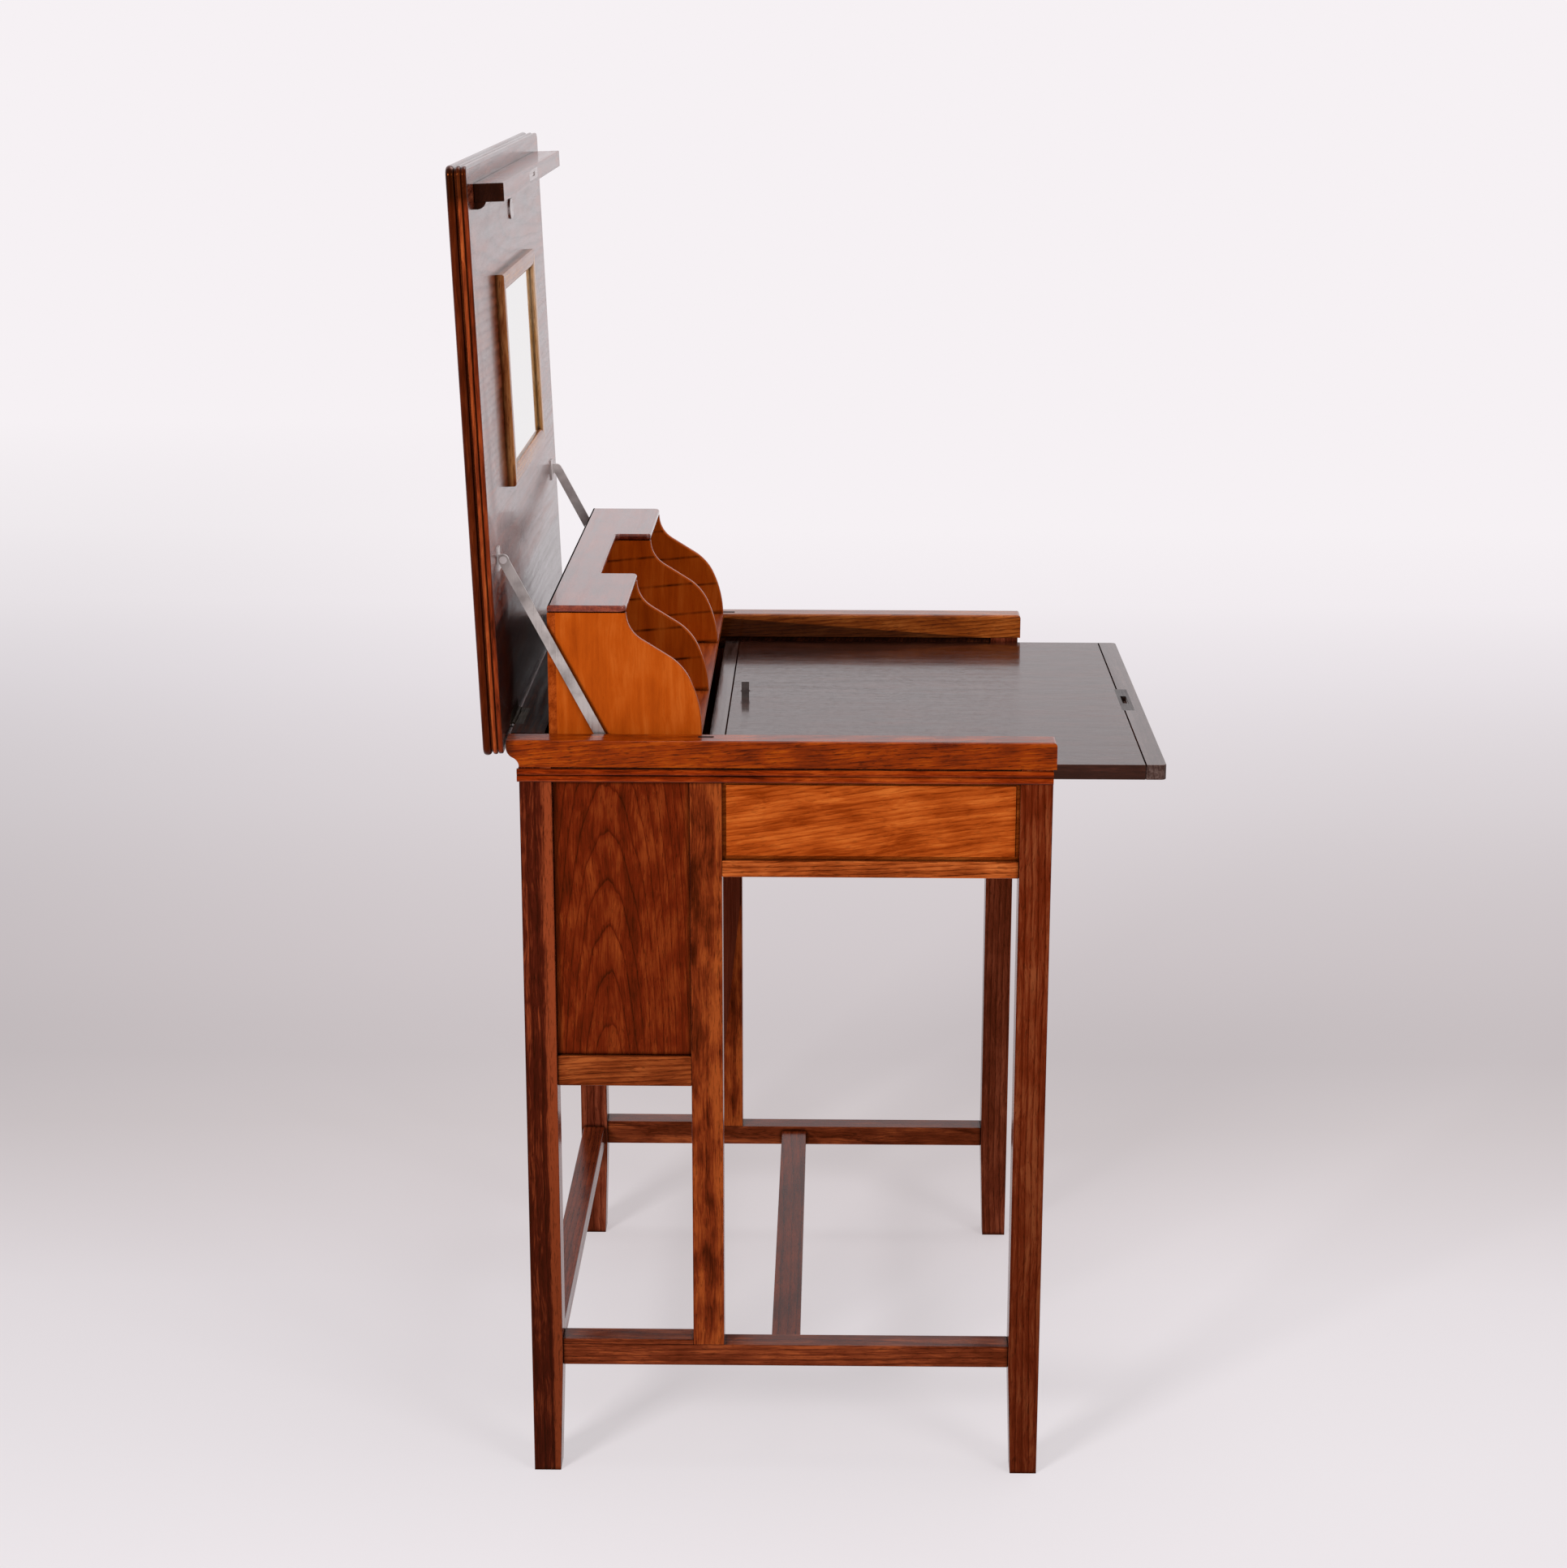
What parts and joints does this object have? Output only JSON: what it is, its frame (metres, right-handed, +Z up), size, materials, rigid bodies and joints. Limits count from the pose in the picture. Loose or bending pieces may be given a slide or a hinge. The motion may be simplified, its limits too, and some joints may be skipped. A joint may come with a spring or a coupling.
{
  "type": "lady's writing desk",
  "caption": "Small oak writing desk: hinged lid with mirror, letter rack raised by steel stays, sliding writing board, drawer, tapered legs and stretchers.",
  "frame": {"origin": "on the floor under the middle of the four legs", "axes": "+Z up; the writer sits on the -Y side, the lid is hinged on the +Y side; +X is the writer's right"},
  "size_m": [0.64, 0.6771, 1.3104],
  "materials": {
    "oak": "french polished oak, red brown",
    "oak_lid": "polished oak, darker",
    "oak_inner": "oak, waxed",
    "steel": "rolled steel, dulled",
    "brass": "brass, toned",
    "mirror": "silvered plate glass"
  },
  "bodies": {
    "carcass": {"apron_panel_left": "oak", "apron_panel_right": "oak", "apron_rails": "oak", "back_moulding": "oak", "box_back_panel": "oak_inner", "box_back_rail": "oak", "box_floor": "oak_inner", "box_front_panel": "oak_inner", "box_panel_left": "oak", "box_panel_right": "oak", "box_rails": "oak", "cheek_left": "oak", "cheek_plugs": "oak", "cheek_right": "oak", "cross_stretcher": "oak", "drawer_rail": "oak", "drawer_runners": "oak_inner", "hinge_desk_leaves": "steel", "hinge_pins": "steel", "leg_front_left": "oak", "leg_front_right": "oak", "leg_rear_left": "oak", "leg_rear_right": "oak", "mid_post_left": "oak", "mid_post_right": "oak", "rack_guides": "oak_inner", "rear_ledge": "oak", "rear_stretcher": "oak", "side_mouldings": "oak", "side_stretcher_left": "oak", "side_stretcher_right": "oak", "slide_runners": "oak_inner", "stretcher_slips": "oak", "top_rails": "oak"},
    "lid": {"lid_panel": "oak_lid", "lid_rail": "oak_lid", "lid_rail_strip": "oak_lid", "mirror_frame": "oak_lid", "mirror_glass": "mirror", "lock": "brass", "lock_bolt": "brass", "catch_plate": "brass", "hinge_lid_leaves": "steel", "stay_brackets": "steel"},
    "stay_left": {"stay_left": "steel"},
    "stay_right": {"stay_right": "steel"},
    "rack": {"rack_top": "oak", "rack_sides": "oak", "rack_dividers": "oak", "rack_base": "oak", "rack_back": "oak_inner", "rack_pivot_plates": "steel"},
    "writing_slide": {"writing_board": "oak", "board_cleats": "oak", "strike_plate": "brass", "board_pull": "brass"},
    "drawer": {"drawer_front": "oak", "drawer_sides_and_back": "oak_inner", "drawer_bottom": "oak_inner", "drawer_knob": "brass"}
  },
  "joints": [
    {"name": "lid_hinge", "type": "hinge", "parent": "carcass", "child": "lid", "pos_m": [0, 0.268, 0.769], "axis": [1, 0, 0], "range_deg": [0, 92.2]},
    {"name": "stay_left_pivot", "type": "hinge", "parent": "lid", "child": "stay_left", "pos_m": [-0.2718, 0.26993, 0.93905], "axis": [1, 0, 0], "range_deg": [-42.65, 0]},
    {"name": "stay_right_pivot", "type": "hinge", "parent": "lid", "child": "stay_right", "pos_m": [0.2718, 0.26993, 0.93905], "axis": [1, 0, 0], "range_deg": [-42.65, 0]},
    {"name": "rack_lift", "type": "slide", "parent": "carcass", "child": "rack", "axis": [0, 0, -1], "range_m": [0, 0.18352]},
    {"name": "writing_slide", "type": "slide", "parent": "carcass", "child": "writing_slide", "axis": [0, 1, 0], "range_m": [0, 0.106]},
    {"name": "drawer_slide", "type": "slide", "parent": "carcass", "child": "drawer", "axis": [0, -1, 0], "range_m": [0, 0.2]}
  ],
  "couplings": [
    {"joint": "stay_left_pivot", "follows": "lid_hinge", "ratio": -0.46151},
    {"joint": "stay_right_pivot", "follows": "lid_hinge", "ratio": -0.46151},
    {"joint": "rack_lift", "follows": "lid_hinge", "m_per_rad": 0.11386}
  ]
}
